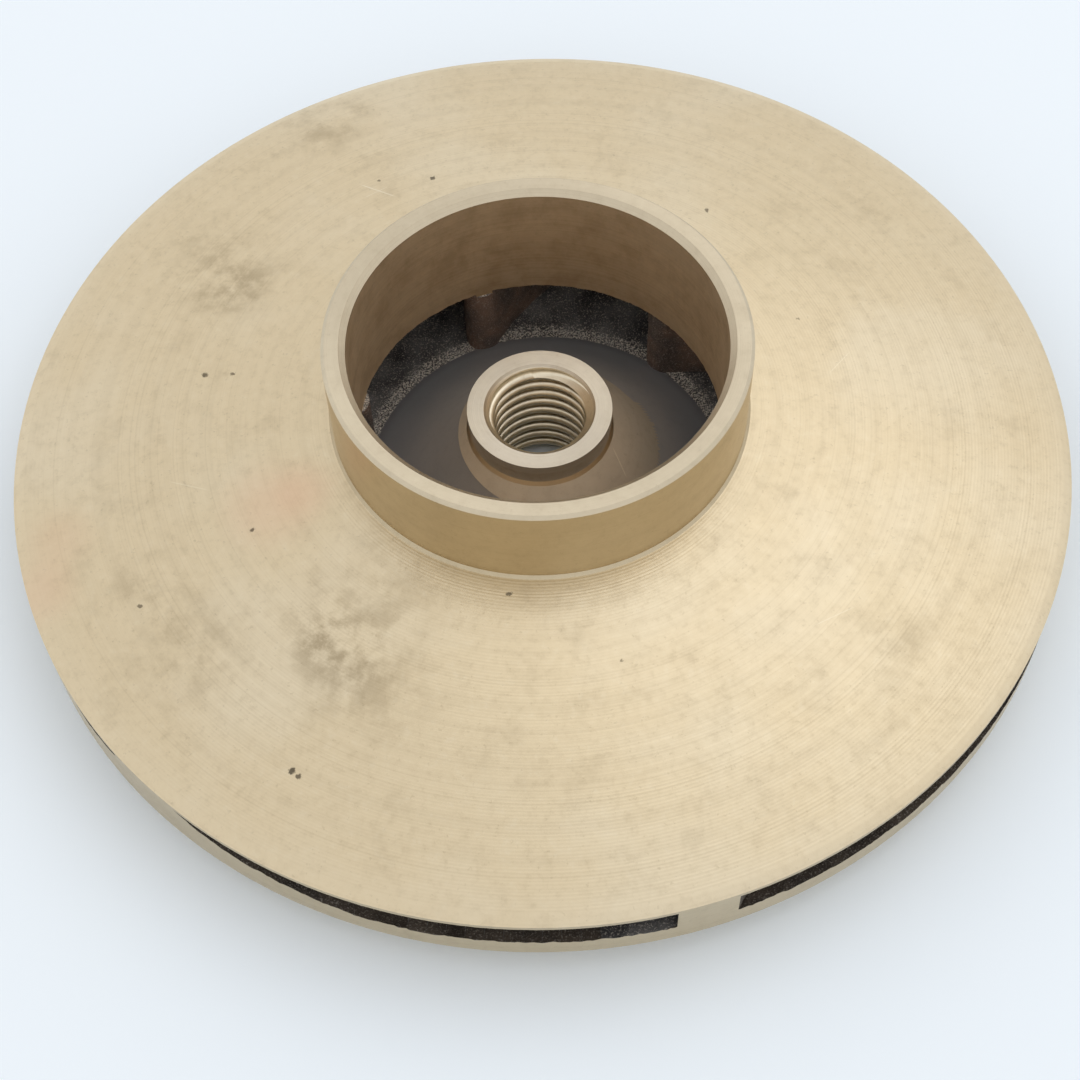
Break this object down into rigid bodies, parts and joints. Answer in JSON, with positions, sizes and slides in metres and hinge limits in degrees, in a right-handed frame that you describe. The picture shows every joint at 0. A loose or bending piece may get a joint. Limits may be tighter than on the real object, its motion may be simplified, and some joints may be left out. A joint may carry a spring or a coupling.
{
  "type": "pump impeller",
  "caption": "Closed centrifugal pump impeller in bronze, with curved vanes between two shrouds, a wear-ring neck round the eye and a threaded hub.",
  "frame": {"origin": "on the turned axis, at the end face of the back hub, which the impeller rests on", "axes": "+Z along the axis of rotation towards the suction eye; the body is thinnest along Z"},
  "size_m": [0.19, 0.19, 0.0452],
  "materials": {
    "bronze": "turned satin bronze outside, dark as-cast skin in the passages"
  },
  "bodies": {
    "root": {"impeller": "bronze"}
  },
  "joints": []
}
